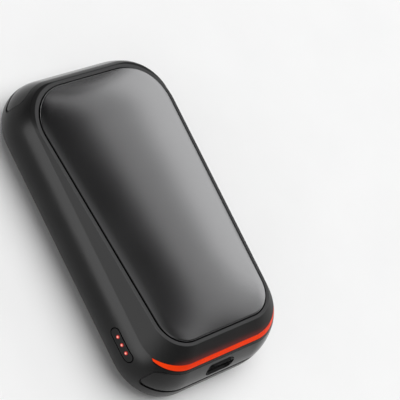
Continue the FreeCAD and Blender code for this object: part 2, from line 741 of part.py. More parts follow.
# Cell between two pads: the rear one in the heater window, the front one a wedge up to the tilted film
rear_pad = node(pad_body("rear_insulation_pad", (
    "window_half - film_margin", "window_half - film_margin", "cell_port_end", "window_end - film_margin",
    "pad_corner", "pad_corner"), "rear_pad_thickness"))
place(rear_pad, z="rear_floor")
cell_shape = "cell_half", "cell_half", "cell_port_end", "cell_plain_end", "cell_corner", "cell_corner"
cell = node(pad_body("battery_cell", cell_shape, "cell_height", edge="cell_edge"))
place(cell, z="cell_bottom")
wedge_line = outline("wedge_line", "front_pad_half", "front_pad_half", "cell_port_end - pad_end_gap",
                     "cell_plain_end - pad_end_gap", "pad_corner", "pad_corner")
wedge = prism("wedge", place(wedge_line, z="cell_top"), REACH)
under_film = prism("under_film", outline("under_film_outline", *wide_plate), REACH)
tilt(under_film, f"film_underside - {REACH}")
node(shared("front_insulation_pad", wedge, under_film))

# Small guard board on the end of the cell, with leads to a connector under the main board
node(block("battery_board", ("-guard_half", "guard_half"),
           ("-cell_port_end - button_board_thickness", "-cell_port_end"),
           ("cell_bottom + cell_edge", "cell_top - cell_edge")))
node(block("battery_connector", ("-connector_half", "connector_half"),
           ("connector_face - connector_length", "connector_face"),
           ("board_bottom - connector_height", "board_bottom")))
leads = []
for side in (-1, 1):
    leads.append(rod(f"battery_lead_{side + 1}", "Y", "lead_radius", f"{side} * connector_half / 2",
                     "connector_face + solder_gap", "board_bottom - connector_height / 2",
                     "-cell_port_end - button_board_thickness - connector_face - 2 * solder_gap"))
node(group("battery_leads", leads))

# Main board: a plate with two arms that hold the charging socket between them
board_plate = block("board_plate", ("-board_half", "board_half"),
                    ("-cavity_end + board_gap", "-board_inner_end"), ("board_bottom", "board_top"))
board_arms = block("board_arms", ("-board_arm_half", "board_arm_half"),
                   ("-board_arm_end", "-cavity_end + tool_overrun"), ("board_bottom", "board_top"))
socket_notch = block("socket_notch", ("-socket_width / 2 - solder_gap", "socket_width / 2 + solder_gap"),
                     (-2 * REACH, "-socket_mouth + socket_length + solder_gap"),
                     ("board_bottom - tool_overrun", "board_top + tool_overrun"))
board_holes = []
for side in (-1, 1):
    board_holes.append(rod(f"board_hole_{side + 1}", "Z", "screw_radius + screw_hole_gap",
                           f"{side} * board_screw_offset", "-board_screw_along", 0, REACH))
node(cut("main_board", join("board_blank", board_plate, board_arms), socket_notch, *board_holes))

# Charging socket: a pressed shell, closed at the back, round a flat contact tongue
socket_outer = pill("socket_outer", "Y", "socket_width", "socket_height", 0, "-socket_mouth", "port_z",
                    "socket_length")
socket_inner = pill("socket_inner", "Y", "socket_width - 2 * socket_wall",
                    "socket_height - 2 * socket_wall", 0, "-socket_mouth - tool_overrun", "port_z",
                    "socket_length + tool_overrun - socket_wall")
node(cut("usb_socket_shell", socket_outer, socket_inner))
tongue = block("socket_tongue", ("-tongue_width / 2", "tongue_width / 2"),
               ("-socket_mouth + tongue_setback", "-socket_mouth + socket_length - socket_wall"),
               ("port_z - tongue_thickness / 2", "port_z + tongue_thickness / 2"))
tongue_root = pill("tongue_root", "Y", "socket_width - 2 * socket_wall - 2 * solder_gap",
                   "socket_height - 2 * socket_wall - 2 * solder_gap", 0,
                   "-socket_mouth + socket_length - socket_wall - socket_back", "port_z", "socket_back")
node(join("usb_socket_tongue", tongue, tongue_root))

# Components on the board
node(chip("controller_chip", (0.47, 21), "controller_side", "controller_side", "chip_height"))
node(chip("charger_chip", (-0.42, 28), "charger_side", "charger_side", "chip_height"))
node(chip("power_inductor", (0.66, 9), "inductor_side", "inductor_side", "inductor_height"))
for name, kind, spots in (
        ("heater_mosfets", "mosfet", ((0, 31), (0.25, 31))),
        ("board_capacitors", "capacitor",
         ((-0.63, 9), (-0.5, 9), (-0.37, 9), (0.37, 7), (-0.63, 21), (-0.5, 21))),
        ("board_resistors", "resistor",
         ((-0.26, 20), (-0.26, 17), (0.29, 15), (0.29, 12), (0, 22), (0.09, 22)))):
    package = f"{kind}_width", f"{kind}_length", f"{kind}_height"
    node(group(name, [chip(f"{kind}_{number}", spot, *package) for number, spot in enumerate(spots)]))

# Heater leads: straight runs from each film to the board
front_leads = []
rear_leads = []
film_z = "rim_z - front_lead_y * tan(plate_tilt) + film_underside / cos(plate_tilt)"
for side in (-1, 1):
    front_leads.append(rod(f"front_lead_{side + 1}", "Z", "lead_radius", f"{side} * lead_half_pitch",
                           "front_lead_y", "board_top + solder_gap",
                           f"{film_z} - board_top - 3 * solder_gap"))
    rear_leads.append(rod(f"rear_lead_{side + 1}", "Z", "lead_radius", f"{side} * 2 * lead_half_pitch",
                          "rear_lead_y", "rear_floor + solder_gap",
                          "board_bottom - rear_floor - 2 * solder_gap"))
node(group("front_heater_leads", front_leads))
node(group("rear_heater_leads", rear_leads))

# Lit strip behind the light bar: it stands on the board and straddles the socket
strip_blank = block("strip_blank", ("-strip_half", "strip_half"),
                    ("-cavity_end + solder_gap", "-cavity_end + solder_gap + strip_thickness"),
                    ("board_top", "crease_z + strip_rise"))
strip_notch = block("strip_notch", ("-strip_notch_half", "strip_notch_half"), (-REACH, 0),
                    ("board_top - tool_overrun", "port_z + socket_height / 2 + strip_socket_gap"))
node(cut("light_strip_board", strip_blank, strip_notch))
strip_leds = []
for number in range(-2, 3):
    x = f"{number} * strip_led_pitch"
    strip_leds.append(block(f"strip_led_{number + 2}",
                            (f"{x} - strip_led_length / 2", f"{x} + strip_led_length / 2"),
                            ("-cavity_end + solder_gap - strip_led_depth", "-cavity_end + solder_gap"),
                            ("bar_bottom + bar_gap", "bar_bottom + bar_gap + strip_led_height")))
node(group("light_strip_leds", strip_leds))

# Push button: a flush pill with a flange behind the seat, a light guide with three pegs, a sprung switch
stem = pill("button_stem", "X", "button_length", "button_height", -REACH, "-button_along", "button_z",
            f"{REACH} - flange_out + flange_thickness / 2")
flange = pill("button_flange", "X", "button_length + 2 * flange_margin",
              "button_height + 2 * flange_margin", "-flange_out", "-button_along", "button_z",
              "flange_thickness")
dots = []
dot_holes = []
for number in (-1, 0, 1):
    spot = f"-button_along + {number} * dot_pitch", "button_z + dot_rise"
    dots.append(rod(f"dot_{number + 1}", "X", "dot_radius", -REACH, *spot,
                    f"{REACH} - flange_in + guide_thickness / 2"))
    dot_holes.append(rod(f"dot_hole_{number + 1}", "X", "dot_radius + dot_gap", -REACH, *spot, REACH))
node(cut("power_button", join("button_blank", shared("button_face", stem, band_form), flange), *dot_holes))
guide_plate = block("guide_plate", ("-flange_in", "-guide_in"),
                    ("-button_along - guide_half_length", "-button_along + guide_half_length"),
                    ("button_z - guide_half_height", "button_led_z + strip_led_height / 2"))
pegs = [shared(f"dot_peg_{number}", dot, band_form) for number, dot in enumerate(dots)]
node(join("button_light_guide", guide_plate, *pegs))
switch_blank = block("switch_blank", ("-switch_face", "-button_board_x"),
                     ("-button_along - switch_half_length", "-button_along + switch_half_length"),
                     ("switch_z - switch_half_height", "switch_z + switch_half_height"))
plunger_hole = rod("plunger_hole", "X", "plunger_radius + bar_gap", "-switch_face - tool_overrun",
                   "-button_along", "switch_z", "tool_overrun + button_travel + plunger_root + seat_gap")
node(cut("switch_body", switch_blank, plunger_hole))
node(rod("switch_plunger", "X", "plunger_radius", "-guide_in", "-button_along", "switch_z",
         "plunger_stand + plunger_root"))
node(block("button_board", ("-button_board_x", "-button_board_x + button_board_thickness"),
           ("-button_along - button_board_half", "-button_along + button_board_half"),
           ("board_top", "button_led_z + strip_led_height")))
button_leds = []
for number in (-1, 0, 1):
    y = f"-button_along + {number} * dot_pitch"
    button_leds.append(block(f"button_led_{number + 1}",
                             ("-button_board_x - strip_led_depth", "-button_board_x"),
                             (f"{y} - strip_led_length / 2", f"{y} + strip_led_length / 2"),
                             ("button_led_z - strip_led_height / 2",
                              "button_led_z + strip_led_height / 2")))
node(group("button_leds", button_leds))

# Screws: four close the case from the back, two hold the board to its ribs
case_screws = []
for number, (x, y) in enumerate(corners):
    case_screws.append(screw(f"case_screw_{number}", f"{x} * boss_offset", f"{y} * boss_y", "head_seat",
                             "case_screw_length"))
node(group("case_screws", case_screws))
board_screws = []
for side in (-1, 1):
    board_screws.append(screw(f"board_screw_{side + 1}", f"{side} * board_screw_offset",
                              "-board_screw_along", "board_bottom", "board_screw_length"))
node(group("board_screws", board_screws))

doc.removeObject("Gauge")
doc.recompute()
for item in doc.Objects:
    if "Invalid" in item.State or "Error" in item.State:
        raise RuntimeError(f"{item.Name} did not build: {item.State}")
os.makedirs("parts", exist_ok=True)
for piece in NODES:
    if piece.Shape.isNull() or not piece.Shape.isValid():
        raise RuntimeError(f"{piece.Label} has no valid shape")
    piece.Shape.exportStep(f"parts/{piece.Label}.step")
    print(piece.Label, len(piece.Shape.Solids), round(piece.Shape.Volume, 2))
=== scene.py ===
# %% [markdown]
# # A pocket hand warmer
# This lesson dresses a rechargeable hand warmer for its picture. The solids were drawn in CAD and packed
# with their real sizes, so Blender only adds what CAD leaves out: the pressed and blasted warm plate, the
# small lenses and contacts, and a finish for every surface. Blender works in metres, in the same frame as
# the CAD. The sizes of the object are written in millimetres and turned into metres where a mesh or a
# node needs them.

# %% Load the solids
import json
import bpy
import numpy as np
from mathutils import Matrix, Quaternion, Vector


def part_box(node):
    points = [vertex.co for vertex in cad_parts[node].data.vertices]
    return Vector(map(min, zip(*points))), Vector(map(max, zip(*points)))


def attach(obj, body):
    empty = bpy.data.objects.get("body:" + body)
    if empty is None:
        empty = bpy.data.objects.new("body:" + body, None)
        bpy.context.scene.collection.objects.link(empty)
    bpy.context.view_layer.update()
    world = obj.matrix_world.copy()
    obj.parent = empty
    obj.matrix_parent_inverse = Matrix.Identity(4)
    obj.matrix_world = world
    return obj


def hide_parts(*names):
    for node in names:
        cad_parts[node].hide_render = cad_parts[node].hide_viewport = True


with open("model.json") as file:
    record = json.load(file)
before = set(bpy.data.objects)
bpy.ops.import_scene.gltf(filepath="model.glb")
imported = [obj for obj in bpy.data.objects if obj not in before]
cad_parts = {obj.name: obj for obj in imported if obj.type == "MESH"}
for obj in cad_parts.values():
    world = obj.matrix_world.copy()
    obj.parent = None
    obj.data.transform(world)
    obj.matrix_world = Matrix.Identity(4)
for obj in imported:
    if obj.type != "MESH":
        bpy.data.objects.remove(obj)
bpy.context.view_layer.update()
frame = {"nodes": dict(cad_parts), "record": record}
MM = 0.001

# %% [markdown]
# ## Camera
# The picture was taken with a long lens from above one long side, with the charging end nearer. A camera
# can be aimed by eye, but then its view is a little off. Here it was fitted to points on the edges of the
# case, so the directions of its right side, its top and its back are written out, with its stand in metres.

# %% Place the camera
PICTURE_PIXELS, FOCAL_PIXELS = 400, 1802.9
CAMERA_RIGHT = 0.7148, -0.4468, 0.5380
CAMERA_TOP = 0.2571, 0.8833, 0.3920
CAMERA_BACK = -0.6504, -0.1419, 0.7462
CAMERA_STAND = -0.2778, -0.0653, 0.3511
camera_lens = bpy.data.cameras.new("portrait_lens")
camera_lens.sensor_width = 36
camera_lens.lens = FOCAL_PIXELS / PICTURE_PIXELS * camera_lens.sensor_width
camera_lens.clip_end = 30
axes = np.eye(4)
axes[:3] = np.stack([CAMERA_RIGHT, CAMERA_TOP, CAMERA_BACK, CAMERA_STAND], axis=1)
camera = bpy.data.objects.new("portrait_camera", camera_lens)
camera.matrix_world = Matrix(axes.tolist())
bpy.context.collection.objects.link(camera)
bpy.context.scene.camera = camera
bpy.context.scene.view_settings.view_transform = "Standard"
print("focal length:", round(camera_lens.lens, 1), "mm")

# %% [markdown]
# ## Helpers for finishes
# Every finish below is a small tree of shader nodes. Nodes can be added and linked with Blender's own
# calls, but one node then takes several lines. These helpers make a blank material, add a node, set or
# link its sockets, and hand back what comes out of it, so that a finish can be read like a recipe.


# %% Add shader nodes
def blank(name):
    """A new material, with its node tree and its main shader."""
    material = bpy.data.materials.new(name)
    material.use_nodes = True
    return material, material.node_tree, material.node_tree.nodes["Principled BSDF"]


def wire(tree, given, socket):
    """Link a socket to what comes out of another node, or set it to a value."""
    if isinstance(given, bpy.types.NodeSocket):
        tree.links.new(given, socket)
    else:
        socket.default_value = given


def add(tree, kind, settings=None, **sockets):
    """One node of a shader tree: its settings, then its sockets by name, each set to a value or linked."""
    node = tree.nodes.new(kind)
    for name, setting in (settings or {}).items():
        setattr(node, name, setting)
    for name, given in sockets.items():
        wire(tree, given, node.inputs[name.replace("_", " ")])
    return node


def maths(tree, operation, *terms, kind="ShaderNodeMath"):
    """What comes out of a Math or Vector Math node, whose terms are values or other nodes' outputs."""
    node = add(tree, kind, {"operation": operation})
    for given, socket in zip(terms, node.inputs):
        wire(tree, given, socket)
    return next(socket for socket in node.outputs if socket.enabled)


def vector_maths(tree, operation, *terms):
    """The same for vectors; a dot product and a length come out as a number."""
    return maths(tree, operation, *terms, kind="ShaderNodeVectorMath")


def ramp(tree, fac, *stops):
    """A colour ramp: each stop is a place from 0 to 1 and a colour."""
    node = add(tree, "ShaderNodeValToRGB", Fac=fac)
    band = node.color_ramp
    while len(band.elements) < len(stops):
        band.elements.new(0.5)
    for element, (place, colour) in zip(band.elements, stops):
        element.position = place
        element.color = (*colour, 1)
    return node.outputs["Color"]


# %% [markdown]
# ## Helper for skins
# Every new piece is a closed skin. Blender's editing tools could build it step by step, but rings of
# points that are worked out as one array are exact and come out the same each time. Rows run one way over
# the surface and columns the other, and the skin closes on itself round each ring and shrinks to a point
# at both ends.


# %% Turn rings of points into a mesh
def skin(name, grids, material, body, tone=None):
    """A mesh of one or more closed skins from rings of points: copies by rows by columns by xyz.

    Each column joins the next and the last joins the first. The first and the last ring of a copy are
    shrunk to their middle, which is one point, so the skin is closed at both poles. Tone is a number for
    each row, kept on its points for the material to read.
    """
    grids = grids.reshape(-1, *grids.shape[-3:])
    copies, count, around = grids.shape[:3]
    inside = grids[:, 1:-1].reshape(copies, -1, 3)
    points = np.concatenate([grids[:, :1].mean(2), inside, grids[:, -1:].mean(2)], axis=1)
    ring = np.arange(1, 1 + (count - 2) * around).reshape(count - 2, around)
    after = np.roll(ring, -1, axis=1)
    quads = np.stack([ring[:-1], after[:-1], after[1:], ring[1:]], axis=-1).reshape(-1, 4)
    first = np.stack([np.zeros(around, int), after[0], ring[0]], axis=-1)
    last = np.stack([np.full(around, points.shape[1] - 1), ring[-1], after[-1]], axis=-1)
    step = (np.arange(copies) * points.shape[1])[:, None, None]
    faces = [(step + part).reshape(-1, part.shape[1]).tolist() for part in (first, quads, last)]
    mesh = bpy.data.meshes.new(name)
    mesh.from_pydata(points.reshape(-1, 3).tolist(), [], sum(faces, []))
    mesh.shade_smooth()
    mesh.materials.append(material)
    if tone is not None:
        levels = np.concatenate([tone[:1], np.repeat(tone[1:-1], around), tone[-1:]])
        attribute = mesh.attributes.new("tone", "FLOAT", "POINT")
        attribute.data.foreach_set("value", np.tile(levels, copies))
    piece = bpy.data.objects.new(name, mesh)
    bpy.context.collection.objects.link(piece)
    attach(piece, body)
    print(name, len(mesh.vertices), "points", len(mesh.polygons), "faces")
    return piece


# %% [markdown]
# ## Finishes
# A moulded part is never one flat colour. Its tool leaves a fine grain, the plastic has faint clouds, and
# the edges are a little rounded and polished by hands. One function makes that family of finishes: a fine
# noise for the grain, a coarse one for the clouds, and a Bevel node that rounds the shading of sharp CAD
# edges and marks them as worn. An edge is where the rounded normal turns away from the flat one.


# %% Make a grained finish
def grained(name, dark, light, worn, roughness, grain, clouds, depth, edge=0.12, **sockets):
    """A grained surface: clouds and grain move its colour from dark to light, and edges are worn paler.

    The lengths grain, clouds, depth and edge are millimetres. Roughness is a pair, the least and the most.
    Any other socket of the shader can be set by its name.
    """
    material, tree, shader = blank(name)
    place = add(tree, "ShaderNodeTexCoord").outputs["Object"]
    fine = add(tree, "ShaderNodeTexNoise", Vector=place, Scale=1 / (grain * MM), Detail=2).outputs["Fac"]
    cloud = add(tree, "ShaderNodeTexNoise", Vector=place, Scale=1 / (clouds * MM), Detail=3).outputs["Fac"]
    soft = add(tree, "ShaderNodeBevel", {"samples": 6}, Radius=edge * MM).outputs["Normal"]
    face = add(tree, "ShaderNodeNewGeometry").outputs["Normal"]
    turn = vector_maths(tree, "DOT_PRODUCT", soft, face)
    wear = add(tree, "ShaderNodeMapRange", Value=turn, From_Min=0.98, From_Max=0.75, To_Max=0.4).outputs[0]
    mottle = maths(tree, "MULTIPLY_ADD", fine, 0.5, maths(tree, "MULTIPLY", cloud, 0.5))
    tone = maths(tree, "ADD", mottle, wear)
    wire(tree, ramp(tree, tone, (0.3, dark), (0.62, light), (1, worn)), shader.inputs["Base Color"])
    sheen = add(tree, "ShaderNodeMapRange", Value=cloud, From_Min=0.3, From_Max=0.7,
                To_Min=roughness[0], To_Max=roughness[1])
    wire(tree, sheen.outputs[0], shader.inputs["Roughness"])
    bump = add(tree, "ShaderNodeBump", Height=fine, Distance=depth * MM, Strength=0.6, Normal=soft)
    wire(tree, bump.outputs[0], shader.inputs["Normal"])
    for socket, value in sockets.items():
        shader.inputs[socket.replace("_", " ")].default_value = value
    return material


def grey(*levels):
    """Neutral colours with a trace of blue."""
    return [(level, level, level * 1.015) for level in levels]


# %% The finishes of the case
sleeve_black = grained("satin_black_sleeve", *grey(0.005, 0.008, 0.02), roughness=(0.33, 0.35),
                       grain=0.16, clouds=9, depth=0.004, Specular_IOR_Level=0.19)
cap_black = grained("polished_black_cap", *grey(0.003, 0.004, 0.015), roughness=(0.15, 0.17),
                    grain=0.5, clouds=12, depth=0.0005, Specular_IOR_Level=0.28)
plate_grey, back_grey = [
    grained(name, *grey(0.28, 0.3, 0.42), roughness=(0.2, 0.215), grain=0.12, clouds=14, depth=0.002,
            edge=0.08, Metallic=1.0)
    for name in ("blasted_grey_plate", "blasted_grey_back")
]
print("case finishes:", sleeve_black.name, cap_black.name, plate_grey.name, back_grey.name)

# %% [markdown]
# ## Zones of the sleeve
# The sleeve is one moulding, but its tool is not finished alike all over. The wall above the crease is a
# little duller than the barrel below it, and the narrow flat rim round the plate is painted paler. The edge
# of the plate is painted dark: it is painted shade for the shadowed gap round the plate. The faces could be
# sorted into several materials, but the borders would then follow the triangles. Masks along a direction of
# the part give clean borders in one material.


# %% Mask a zone and repaint it
def zone(material, along, start, full, level=0):
    """A mask that rises smoothly from 0 at the start to 1 where it is full.

    Both are distances past a level along a direction of the part, in millimetres.
    """
    tree = material.node_tree
    place = add(tree, "ShaderNodeTexCoord").outputs["Object"]
    reach = vector_maths(tree, "DOT_PRODUCT", place, along)
    return add(tree, "ShaderNodeMapRange", {"interpolation_type": "SMOOTHSTEP"}, Value=reach,
               From_Min=(level + start) * MM, From_Max=(level + full) * MM).outputs[0]


def repaint(material, socket, mask, value):
    """Mix a shader's colour or number towards another value where the mask is 1."""
    tree = material.node_tree
    target = tree.nodes["Principled BSDF"].inputs[socket]
    mix = add(tree, "ShaderNodeMix", {"data_type": "RGBA" if target.type == "RGBA" else "FLOAT"})
    sides = {side.name: side for side in mix.inputs if side.enabled}
    wire(tree, mask, sides["Factor"])
    wire(tree, target.links[0].from_socket if target.links else target.default_value, sides["A"])
    wire(tree, value, sides["B"])
    wire(tree, next(side for side in mix.outputs if side.enabled), target)


# %% Wall, rim and painted shade on the plate edge
UP, TO_PORT, TO_BUTTON = (0, 0, 1), (0, -1, 0), (-1, 0, 0)
CREASE_HALF_WIDTH, CREASE_HALF_LENGTH = 21.95, 38.5
BAND_RADIUS, CREASE_ANGLE = 9.1, np.radians(44)
PLATE_TILT, RIM_STEP = np.radians(3), 0.35
RECESS_PLAIN_SETBACK = 1.15
RECESS_PLAIN_END = CREASE_HALF_LENGTH - RECESS_PLAIN_SETBACK
CREASE_HEIGHT = BAND_RADIUS * (1 + np.sin(CREASE_ANGLE))
RIM_HEIGHT = CREASE_HEIGHT + RIM_STEP + RECESS_PLAIN_END * np.sin(PLATE_TILT)
wall = zone(sleeve_black, UP, start=0.02, full=0.08, level=CREASE_HEIGHT)
repaint(sleeve_black, "Roughness", wall, 0.5)
repaint(sleeve_black, "Base Color", wall, (0.008, 0.008, 0.0081, 1))
rim_level = RIM_HEIGHT * np.cos(PLATE_TILT)
rim_normal = 0, np.sin(PLATE_TILT), np.cos(PLATE_TILT)
# The narrow flat rim round the plate is painted paler than the rest of the sleeve.
rim = zone(sleeve_black, rim_normal, start=-0.12, full=-0.06, level=rim_level)
repaint(sleeve_black, "Base Color", rim, (0.05, 0.05, 0.051, 1))
# Painted shade: the edge of the plate is painted near black, standing for the shadowed gap round it.
plate_edge_shade = zone(plate_grey, rim_normal, start=0.26, full=0.12, level=rim_level)
repaint(plate_grey, "Base Color", plate_edge_shade, (0.012, 0.012, 0.012, 1))
print("rim height at the middle:", round(RIM_HEIGHT, 2), "mm")

# %% [markdown]
# ## Gap round the button
# The push button is a pill with a thin gap all round, and almost no light comes back out of that gap. The
# gap is there in the solids, but in the picture it is under a pixel wide, so its two edges are darkened
# as well. The line could be drawn in an image, but a distance is sharper at any size: it is dark wherever
# the distance from the straight line in the middle of the pill lies between two lengths.


# %% Darken the gap
def pill_line(material, middle, half_straight, near, far):
    """A mask on the band round a pill that lies along y, between two distances from its middle line.

    The distance is the length of two parts: how far y is past the end of the straight line, if it is, and
    how far z is from it. All sizes are millimetres.
    """
    tree = material.node_tree
    reach = add(tree, "ShaderNodeTexCoord").outputs["Object"]
    steps = (("SUBTRACT", np.array(middle) * MM), ("ABSOLUTE",), ("SUBTRACT", (0, half_straight * MM, 0)),
             ("MAXIMUM", (0, 0, 0)), ("MULTIPLY", (0, 1, 1)), ("LENGTH",))
    for operation, *operand in steps:
        reach = vector_maths(tree, operation, reach, *operand)
    return maths(tree, "COMPARE", reach, (near + far) / 2 * MM, (far - near) / 2 * MM)


BUTTON_SETBACK, BUTTON_DROP = 11.4, 3.97
BUTTON_LONG, BUTTON_HIGH, BUTTON_GAP = 8.8, 2.25, 0.2
INNER_SHADE, OUTER_SHADE = 0.025, 0.035
BUTTON_ALONG = CREASE_HALF_LENGTH - BUTTON_SETBACK
BUTTON_HEIGHT = CREASE_HEIGHT - BUTTON_DROP
button_middle = 0, -BUTTON_ALONG, BUTTON_HEIGHT
half_straight = (BUTTON_LONG - BUTTON_HIGH) / 2
button_edge = BUTTON_HIGH / 2
gap_line = pill_line(sleeve_black, button_middle, half_straight,
                     near=button_edge - INNER_SHADE, far=button_edge + BUTTON_GAP + OUTER_SHADE)
button_side = zone(sleeve_black, TO_BUTTON, start=10, full=12)
gap = maths(sleeve_black.node_tree, "MULTIPLY", button_side, gap_line)
repaint(sleeve_black, "Base Color", gap, (0.0005, 0.0005, 0.0005, 1))
repaint(sleeve_black, "Roughness", gap, 1.0)
repaint(sleeve_black, "Specular IOR Level", gap, 0.0)
print("button middle:", np.round(button_middle, 2), "mm")

# %% [markdown]
# ## Glow above the bar
# The light bar sits in the crease at the charging end and throws a red glow on the wall above it. The
# light of so thin a bar reaches the wall mostly as noise, so the wall is given the glow itself: a wide
# faint one, and a stronger one that fades upwards from the bar.

# %% Glow on the wall
sleeve_tree = sleeve_black.node_tree
moulding = sleeve_tree.nodes["Principled BSDF"]
moulding.inputs["Emission Color"].default_value = (0, 0, 0, 1)
moulding.inputs["Emission Strength"].default_value = 1
wide_glow = maths(sleeve_tree, "MULTIPLY", zone(sleeve_black, TO_PORT, start=35, full=40.5), wall)
repaint(sleeve_black, "Emission Color", wide_glow, (0.022, 0.003, 0.0015, 1))
low_wall = zone(sleeve_black, UP, start=2.2, full=0, level=CREASE_HEIGHT)
port_wall = zone(sleeve_black, TO_PORT, start=35.8, full=38.2)
close_glow = maths(sleeve_tree, "MULTIPLY", maths(sleeve_tree, "MULTIPLY", low_wall, port_wall), wall)
repaint(sleeve_black, "Emission Color", close_glow, (0.14, 0.007, 0.005, 1))
print("crease height:", round(CREASE_HEIGHT, 2), "mm")

# %% [markdown]
# ## Lights in the case
# The bar and the three dots are clear plastic lit from behind. Lamps behind real clear plastic would be
# slow to render, so the plastic glows by itself. Its colour has to stay orange and red, so the glow is
# kept too weak to bleach it, and wanders a little along the piece. The foot of the bar is masked in black
# on a slant, which makes the bar narrower towards its tips.


# %% Make a lit finish
def lit(name, cool, hot, strength, stretch, roughness):
    """Clear plastic with a lamp behind it: the glow wanders between two colours along the piece.

    Stretch is the length of that wandering in millimetres.
    """
    material, tree, shader = blank(name)
    place = add(tree, "ShaderNodeTexCoord").outputs["Object"]
    drift = add(tree, "ShaderNodeTexNoise", Vector=place, Scale=1 / (stretch * MM), Detail=1).outputs["Fac"]
    glow = ramp(tree, drift, (0.3, cool), (0.7, hot))
    wire(tree, glow, shader.inputs["Base Color"])
    wire(tree, glow, shader.inputs["Emission Color"])
    shader.inputs["Emission Strength"].default_value = strength
    shader.inputs["Roughness"].default_value = roughness
    shader.inputs["Specular IOR Level"].default_value = 0.08
    return material


# %% The lit finishes
bar_orange = lit("lit_orange_bar", cool=(0.45, 0.02, 0.002), hot=(0.52, 0.03, 0.003), strength=0.8,
                 stretch=6, roughness=0.35)
dot_red = lit("lit_red_dot", cool=(0.25, 0.01, 0.008), hot=(0.3, 0.016, 0.012), strength=1.1,
              stretch=0.6, roughness=0.2)
BAR_TIP, BAR_FRONT = 33.0, 41.0
TIP_DROP, FRONT_DROP = 0.33, 0.6
taper = (FRONT_DROP - TIP_DROP) / (BAR_FRONT - BAR_TIP)
bar_foot = CREASE_HEIGHT - TIP_DROP + taper * BAR_TIP
masked = zone(bar_orange, (0, -taper, 1), start=0.03, full=-0.03, level=bar_foot)
repaint(bar_orange, "Base Color", masked, (0.006, 0.006, 0.006, 1))
repaint(bar_orange, "Emission Color", masked, (0, 0, 0, 1))
print("lit finishes:", bar_orange.name, dot_red.name)

# %% [markdown]
# ## Finishes inside
# Nothing inside shows while the case is closed, but the part may be opened or cut by the person who uses
# it, so each kind of inner piece has its own finish: foil, film, fibre, laminate, moulded packages and
# plated steel. One plain grey would be quicker, but the pieces could then not be told apart.

# %% The finishes inside the case
finishes = {
    "sleeve_black": sleeve_black,
    "cap_black": cap_black,
    "plate_grey": plate_grey,
    "light_orange": bar_orange,
    "guide_red": dot_red,
    "gasket_black": grained("foam_tape", *grey(0.02, 0.05, 0.08), roughness=(0.8, 0.95),
                            grain=0.2, clouds=3, depth=0.03),
    "film_amber": grained("amber_film", (0.5, 0.2, 0.03), (0.65, 0.3, 0.06), (0.75, 0.4, 0.1),
                          roughness=(0.2, 0.3), grain=0.6, clouds=5, depth=0.002, Coat_Weight=0.4),
    "pad_white": grained("fibre_pad", (0.55, 0.54, 0.5), (0.75, 0.74, 0.7), (0.85, 0.84, 0.8),
                         roughness=(0.85, 0.98), grain=0.3, clouds=2, depth=0.06),
    "cell_foil": grained("pouch_foil", *grey(0.5, 0.62, 0.75), roughness=(0.28, 0.4),
                         grain=0.8, clouds=6, depth=0.02, Metallic=1.0),
    "board_green": grained("board_mask", (0.01, 0.1, 0.04), (0.03, 0.2, 0.09), (0.06, 0.28, 0.13),
                           roughness=(0.25, 0.35), grain=0.4, clouds=3, depth=0.004),
    "chip_black": grained("moulded_package", *grey(0.012, 0.03, 0.06), roughness=(0.5, 0.65),
                          grain=0.1, clouds=2, depth=0.004),
    "chip_white": grained("pale_package", (0.6, 0.58, 0.5), (0.8, 0.78, 0.7), (0.88, 0.86, 0.8),
                          roughness=(0.35, 0.5), grain=0.1, clouds=1, depth=0.003),
    "part_brown": grained("fired_body", (0.22, 0.14, 0.08), (0.38, 0.26, 0.16), (0.5, 0.4, 0.3),
                          roughness=(0.4, 0.55), grain=0.1, clouds=0.6, depth=0.003),
    "steel": grained("plated_steel", *grey(0.5, 0.6, 0.7), roughness=(0.22, 0.34),
                     grain=0.25, clouds=4, depth=0.002, Metallic=1.0),
    "lead_red": grained("lead_jacket", (0.35, 0.02, 0.015), (0.55, 0.05, 0.04), (0.65, 0.1, 0.08),
                        roughness=(0.45, 0.6), grain=0.3, clouds=3, depth=0.004),
}
# The socket shell is metal painted almost black: painted shade for the dark inside of the port.
shell_painted_shade = grained("socket_shell_painted_shade", *grey(0.03, 0.04, 0.1), roughness=(0.3, 0.4),
                     grain=0.25, clouds=4, depth=0.002, Metallic=1.0)
special = {"usb_socket_shell": shell_painted_shade, "rear_heat_plate": back_grey}
slots = {row["node"]: row["material_slot"] for row in frame["record"]["subparts"]}
for node, solid in frame["nodes"].items():
    solid.data.materials.clear()
    solid.data.materials.append(special.get(node, finishes[slots[node]]))
print("finishes:", len(finishes) + len(special), "on", len(slots), "solids")

# %% [markdown]
# ## Warm plate
# The plate is pressed from aluminium sheet, blasted and dyed. In CAD its crown is a row of lofted
# outlines. Here the same form is one smooth skin. Its first rings follow the outline and are set in
# little by little, so that the rolled edge gets enough of them to catch the light in a thin line. The
# others shrink to a short spine in the middle. The crown rises quickly from the plain end and slowly from
# the charging end.

# %% Outline of the plate
RECESS_PORT_INSET, RECESS_PLAIN_INSET, RECESS_PORT_SETBACK = 4.4, 0.65, 4.6
RECESS_PORT_CORNER, RECESS_PLAIN_CORNER, PLATE_GAP = 7.9, 11.4, 0.3
PORT_HALF = CREASE_HALF_WIDTH - RECESS_PORT_INSET - PLATE_GAP
PLAIN_HALF = CREASE_HALF_WIDTH - RECESS_PLAIN_INSET - PLATE_GAP
PORT_END = CREASE_HALF_LENGTH - RECESS_PORT_SETBACK - PLATE_GAP
PLAIN_END = RECESS_PLAIN_END - PLATE_GAP
PORT_CORNER, PLAIN_CORNER = RECESS_PORT_CORNER - PLATE_GAP, RECESS_PLAIN_CORNER - PLATE_GAP


